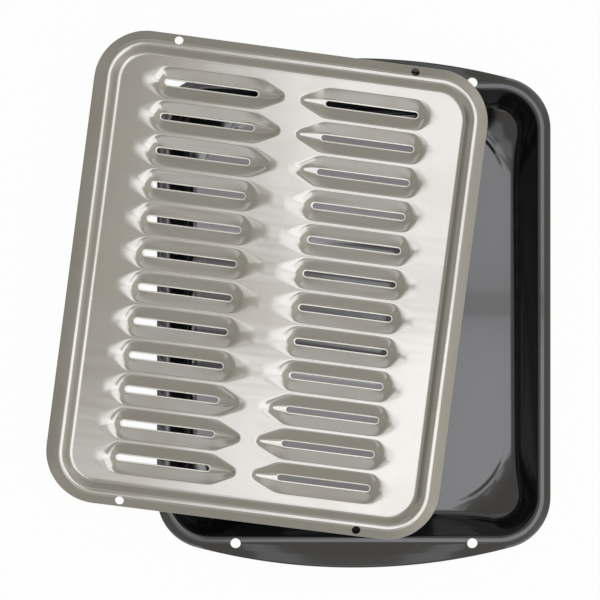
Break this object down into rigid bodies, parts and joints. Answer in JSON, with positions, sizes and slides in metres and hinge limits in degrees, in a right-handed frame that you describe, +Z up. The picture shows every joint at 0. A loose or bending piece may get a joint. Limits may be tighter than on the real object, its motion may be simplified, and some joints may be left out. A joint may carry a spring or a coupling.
{
  "type": "broiler pan",
  "caption": "Deep black enamelled steel pan with bowed end lips, and a loose bright steel grill whose slotted troughs drain fat into it.",
  "frame": {"origin": "middle of the pan's flat underside", "axes": "+Z up, +Y along the pan's length, +X along its width"},
  "size_m": [0.4125, 0.4392, 0.0553],
  "materials": {
    "black_enamel": "glossy porcelain enamel on steel",
    "bright_plate": "satin bright plating on steel, faintly brushed"
  },
  "bodies": {
    "pan": {"broiler_pan": "black_enamel"},
    "grill": {"broiler_grill": "bright_plate"}
  },
  "joints": [
    {"name": "grill_lift", "type": "slide", "parent": "pan", "child": "grill", "axis": [0, 0, 1], "range_m": [0, 0.15]}
  ]
}
